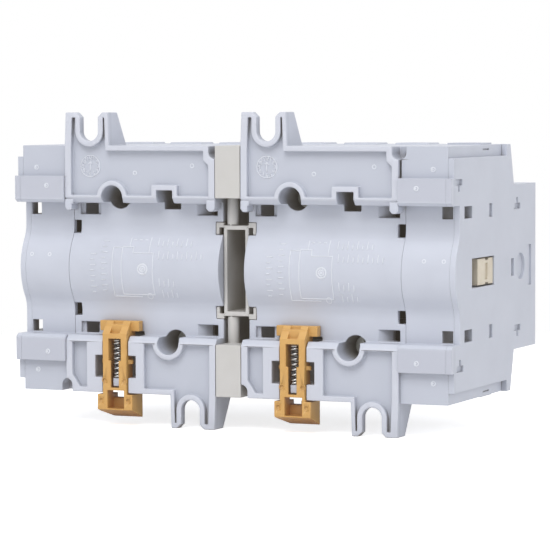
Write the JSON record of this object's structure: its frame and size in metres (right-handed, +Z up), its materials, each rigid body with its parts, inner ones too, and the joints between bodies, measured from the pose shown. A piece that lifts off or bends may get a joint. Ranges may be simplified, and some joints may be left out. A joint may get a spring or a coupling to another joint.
{
  "type": "changeover switch",
  "caption": "Modular changeover switch for rail mounting: two load-switch blocks with fourth poles, a spacer, sprung rail clips, a geared drive and a front selector handle.",
  "frame": {"origin": "middle of the rail channel in the plane of the rear rims, half-way between the two switches", "axes": "+X along the rail, +Y out of the rear towards the rail, +Z up towards the upper terminals"},
  "size_m": [0.1274, 0.0939, 0.0852],
  "materials": {
    "housing": "cool light grey moulded thermoplastic, fine spark-eroded texture",
    "spacer": "warm pale grey moulded thermoplastic",
    "clip": "amber moulded polyamide, slightly waxy",
    "spring_steel": "drawn spring wire",
    "carrier": "cream glass-filled thermoset",
    "copper": "stamped copper with silver contact pads",
    "zinc": "zinc-plated steel",
    "screw_steel": "zinc-plated screws",
    "gear_plastic": "natural white acetal",
    "gearbox": "mid grey moulded thermoplastic",
    "handle": "black moulded polyamide, satin"
  },
  "bodies": {
    "root": {"base_a": "housing", "base_b": "housing", "cover_a": "housing", "cover_b": "housing", "pole_inner_a": "housing", "pole_inner_b": "housing", "pole_shell_a": "housing", "pole_shell_b": "housing", "coupling_spacer": "spacer", "clip_spring_a": "spring_steel", "clip_spring_b": "spring_steel", "snap_spring_a": "spring_steel", "snap_spring_b": "spring_steel", "index_spring": "spring_steel", "top_contacts_a": "copper", "top_contacts_b": "copper", "bottom_contacts_a": "copper", "bottom_contacts_b": "copper", "top_cages_a": "zinc", "top_cages_b": "zinc", "bottom_cages_a": "zinc", "bottom_cages_b": "zinc", "top_screws_a": "screw_steel", "top_screws_b": "screw_steel", "bottom_screws_a": "screw_steel", "bottom_screws_b": "screw_steel", "housing_screws_a": "screw_steel", "housing_screws_b": "screw_steel", "gearbox_screws": "screw_steel", "gearbox_base": "gearbox", "gearbox_cover": "gearbox"},
    "handle_set": {"handle_gear": "gear_plastic", "handle": "handle", "handle_screw": "screw_steel"},
    "spindle_a_set": {"drive_spindle_a": "gear_plastic", "spindle_gear_a": "gear_plastic"},
    "spindle_b_set": {"drive_spindle_b": "gear_plastic", "spindle_gear_b": "gear_plastic"},
    "carrier_a_set": {"carrier_a": "carrier", "pole_slider_a": "carrier", "contact_bridges_a": "copper", "contact_springs_a": "spring_steel"},
    "carrier_b_set": {"carrier_b": "carrier", "pole_slider_b": "carrier", "contact_bridges_b": "copper", "contact_springs_b": "spring_steel"},
    "clip_a": {"rail_clip_a": "clip"},
    "clip_b": {"rail_clip_b": "clip"}
  },
  "joints": [
    {"name": "handle_turn", "type": "hinge", "parent": "root", "child": "handle_set", "pos_m": [0, -0.075, 0], "axis": [0, -1, 0], "range_deg": [-90, 90]},
    {"name": "spindle_a_turn", "type": "hinge", "parent": "root", "child": "spindle_a_set", "pos_m": [0.02625, -0.05, 0], "axis": [0, -1, 0], "range_deg": [-90, 90]},
    {"name": "spindle_b_turn", "type": "hinge", "parent": "root", "child": "spindle_b_set", "pos_m": [-0.02625, -0.05, 0], "axis": [0, -1, 0], "range_deg": [-90, 90]},
    {"name": "carrier_a_slide", "type": "slide", "parent": "root", "child": "carrier_a_set", "axis": [0, 1, 0], "range_m": [0, 0.0055]},
    {"name": "carrier_b_slide", "type": "slide", "parent": "root", "child": "carrier_b_set", "axis": [0, 1, 0], "range_m": [0, 0.0055]},
    {"name": "clip_a_pull", "type": "slide", "parent": "root", "child": "clip_a", "axis": [0, 0, -1], "range_m": [0, 0.0036], "stiffness_N_per_m": 800, "springref_m": -0.003, "deforming": ["clip_spring_a"]},
    {"name": "clip_b_pull", "type": "slide", "parent": "root", "child": "clip_b", "axis": [0, 0, -1], "range_m": [0, 0.0036], "stiffness_N_per_m": 800, "springref_m": -0.003, "deforming": ["clip_spring_b"]}
  ],
  "couplings": [
    {"joint": "spindle_a_turn", "follows": "handle_turn", "ratio": -1},
    {"joint": "spindle_b_turn", "follows": "handle_turn", "ratio": -1}
  ]
}
